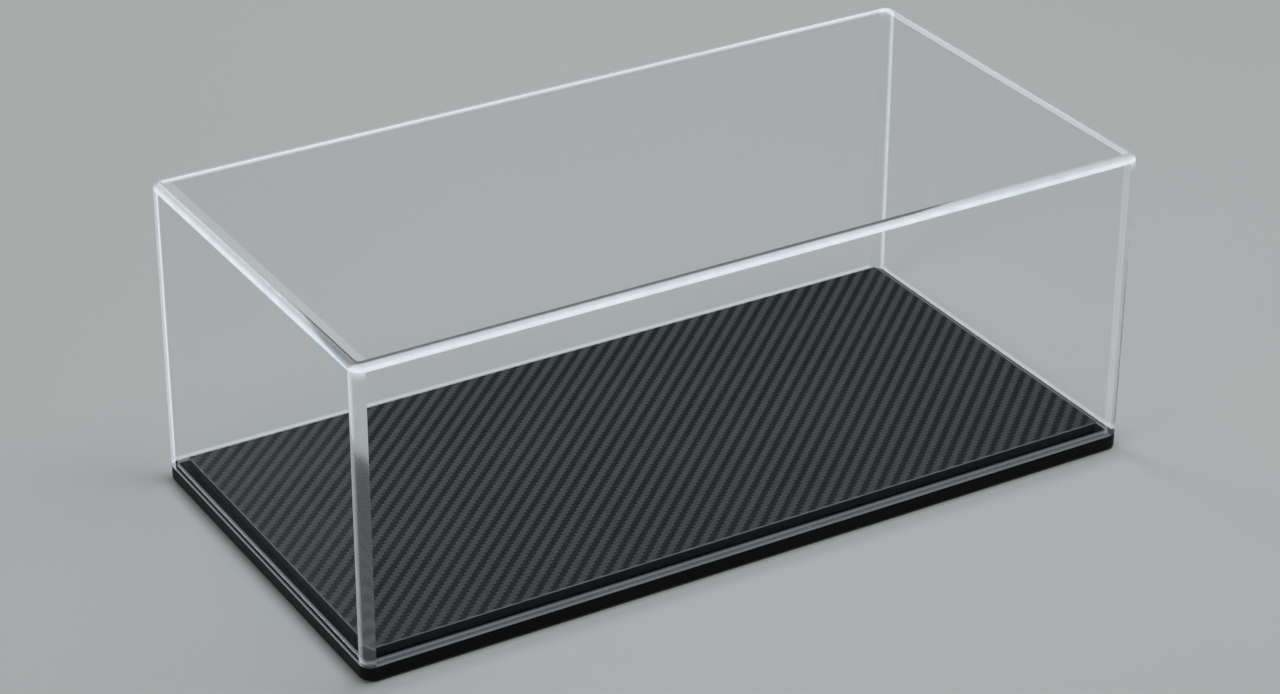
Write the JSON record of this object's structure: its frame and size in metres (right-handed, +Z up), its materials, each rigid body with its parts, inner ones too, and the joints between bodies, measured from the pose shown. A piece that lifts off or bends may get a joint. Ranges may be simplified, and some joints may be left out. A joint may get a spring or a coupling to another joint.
{
  "type": "display case",
  "caption": "Clear lift-off cover on a low black base with a raised woven-look deck, for showing a scale model.",
  "frame": {"origin": "centre of the case's footprint, on the plane that the feet stand on", "axes": "+X along the long side, +Y from front to back, +Z up"},
  "size_m": [0.325, 0.165, 0.125],
  "materials": {
    "clear_plastic": "polished",
    "black_moulding": "gloss",
    "black_board": "satin",
    "twill_sheet": "satin",
    "zinc_screw": "satin",
    "foot_rubber": "matte"
  },
  "bodies": {
    "base": {"base_tray": "black_moulding", "deck_board": "black_board", "carbon_sheet": "twill_sheet", "deck_screws": "zinc_screw", "foot_front_left": "foot_rubber", "foot_front_right": "foot_rubber", "foot_back_left": "foot_rubber", "foot_back_right": "foot_rubber"},
    "cover": {"cover": "clear_plastic"}
  },
  "joints": [
    {"name": "cover_lift", "type": "slide", "parent": "base", "child": "cover", "axis": [0, 0, 1], "range_m": [0, 0.13]}
  ]
}
